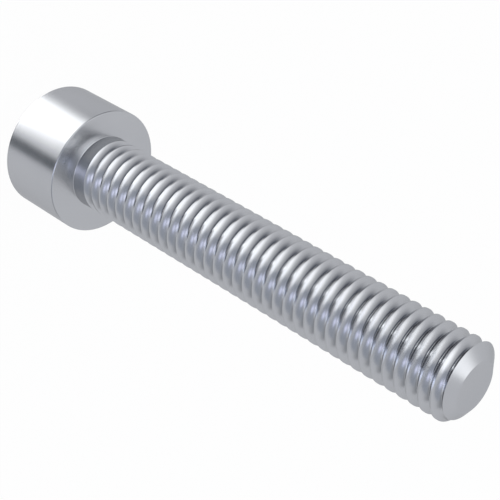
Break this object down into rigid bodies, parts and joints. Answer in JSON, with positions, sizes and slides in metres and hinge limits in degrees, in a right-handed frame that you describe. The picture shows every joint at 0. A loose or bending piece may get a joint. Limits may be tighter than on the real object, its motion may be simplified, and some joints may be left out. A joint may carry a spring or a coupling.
{
  "type": "socket head cap screw",
  "caption": "Round-headed metric machine screw with a hexagon socket, threaded almost up to its head, for clamping parts into a tapped hole.",
  "frame": {"origin": "centre of the head's top face, which the screw stands on", "axes": "+Z along the screw's axis, from the head to the threaded tip; +X through a corner of the hexagon socket"},
  "size_m": [0.0084, 0.0084, 0.035],
  "materials": {
    "steel": "bright zinc-plated steel, satin sheen, with fine turning marks round the head"
  },
  "bodies": {
    "root": {"cap_screw": "steel"}
  },
  "joints": []
}
